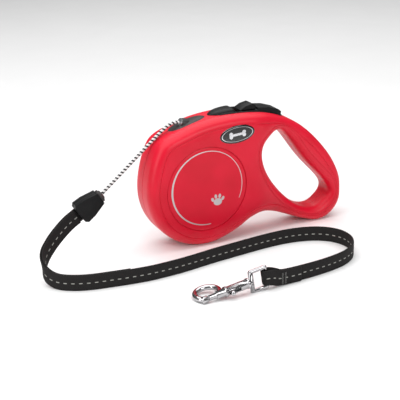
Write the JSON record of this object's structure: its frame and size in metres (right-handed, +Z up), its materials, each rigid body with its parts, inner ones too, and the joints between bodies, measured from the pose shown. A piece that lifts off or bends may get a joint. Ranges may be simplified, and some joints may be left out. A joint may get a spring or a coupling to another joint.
{
  "type": "retractable leash",
  "caption": "Retractable cord leash with a looped handle, a sprung reel, a thumb brake, a cord stopper, a webbing strap and a swivelling snap hook.",
  "frame": {"origin": "on the floor, under the middle of the housing", "axes": "+X from the cord end to the handle, -Y the left side that faces the viewer, +Z up"},
  "size_m": [0.2636, 0.1311, 0.1076],
  "materials": {
    "shell_red": "fine satin moulding, red",
    "disc_red": "fine satin moulding, red with a silver print",
    "badge_black": "gloss black with a thin silver line",
    "graphite": "dark grey satin moulding",
    "black_plastic": "black satin moulding",
    "inner_nylon": "natural nylon",
    "steel": "bright steel",
    "spring_steel": "blued spring steel",
    "brass": "plain",
    "cord_fleck": "white braid with black flecks",
    "webbing": "black flat webbing with a pale stitch",
    "thread": "black sewing thread",
    "chrome": "polished chrome"
  },
  "bodies": {
    "housing": {"housing_left": "shell_red", "housing_right": "shell_red", "side_disc_left": "disc_red", "side_disc_right": "disc_red", "badge_left": "badge_black", "badge_right": "badge_black", "cord_nozzle": "graphite", "cord_eyelet": "steel", "brake_bezel": "black_plastic", "housing_screws": "steel", "axle": "steel", "axle_washers": "brass", "spring_arbor": "steel", "brake_pivot_pin": "steel", "pawl_pin": "steel", "brake_spring": "spring_steel", "cord_inner": "cord_fleck", "cord_free": "cord_fleck"},
    "reel": {"reel_drum": "inner_nylon", "reel_flange": "inner_nylon", "ratchet_ring": "steel", "reel_bush": "brass", "spring_cover": "inner_nylon", "power_spring": "spring_steel", "cord_wound": "cord_fleck", "cord_anchor_pin": "steel"},
    "brake_button": {"brake_button": "black_plastic"},
    "lock_slider": {"lock_slider": "black_plastic"},
    "brake_pawl": {"brake_pawl": "steel"},
    "leash_line": {"stopper_front": "black_plastic", "stopper_back": "black_plastic", "stopper_collar": "graphite", "cord_knot": "cord_fleck", "strap_pin": "steel", "strap": "webbing", "strap_fold_rear": "webbing", "strap_fold_front": "webbing", "strap_bartacks": "thread", "snap_eye": "chrome"},
    "snap_hook": {"snap_hook": "chrome", "snap_collar": "chrome", "snap_spring": "spring_steel"},
    "snap_bolt": {"snap_bolt": "chrome"}
  },
  "joints": [
    {"name": "leash_pull", "type": "slide", "parent": "housing", "child": "leash_line", "axis": [-1, 0, 0], "range_m": [0, 4.6], "stiffness_N_per_m": 0.8, "springref_m": -4, "deforming": ["cord_free"]},
    {"name": "reel_spin", "type": "hinge", "parent": "housing", "child": "reel", "pos_m": [-0.039, 0, 0.0472], "axis": [0, -1, 0], "range_deg": [0, 9721], "deforming": ["power_spring"]},
    {"name": "brake_press", "type": "hinge", "parent": "housing", "child": "brake_button", "pos_m": [-0.02, 0, 0.09], "axis": [0, 1, 0], "range_deg": [0, 4.5], "stiffness_Nm_per_rad": 1.2, "springref_deg": -6.88, "deforming": ["brake_spring"]},
    {"name": "pawl_swing", "type": "hinge", "parent": "housing", "child": "brake_pawl", "pos_m": [-0.0008, 0, 0.071], "axis": [0, 1, 0], "range_deg": [-12.2, 0]},
    {"name": "lock_slide", "type": "slide", "parent": "brake_button", "child": "lock_slider", "axis": [-1, 0, 0], "range_m": [0, 0.003]},
    {"name": "hook_swivel", "type": "hinge", "parent": "leash_line", "child": "snap_hook", "pos_m": [-0.055, -0.1066, 0.00724], "axis": [-0.989, 0, -0.1478], "continuous": true},
    {"name": "bolt_slide", "type": "slide", "parent": "snap_hook", "child": "snap_bolt", "axis": [0.989, 0, 0.1478], "range_m": [0, 0.006], "stiffness_N_per_m": 180, "springref_m": -0.006, "deforming": ["snap_spring"]}
  ],
  "couplings": [
    {"joint": "reel_spin", "follows": "leash_pull", "rad_per_m": 36.88},
    {"joint": "pawl_swing", "follows": "brake_press", "ratio": -2.7}
  ]
}
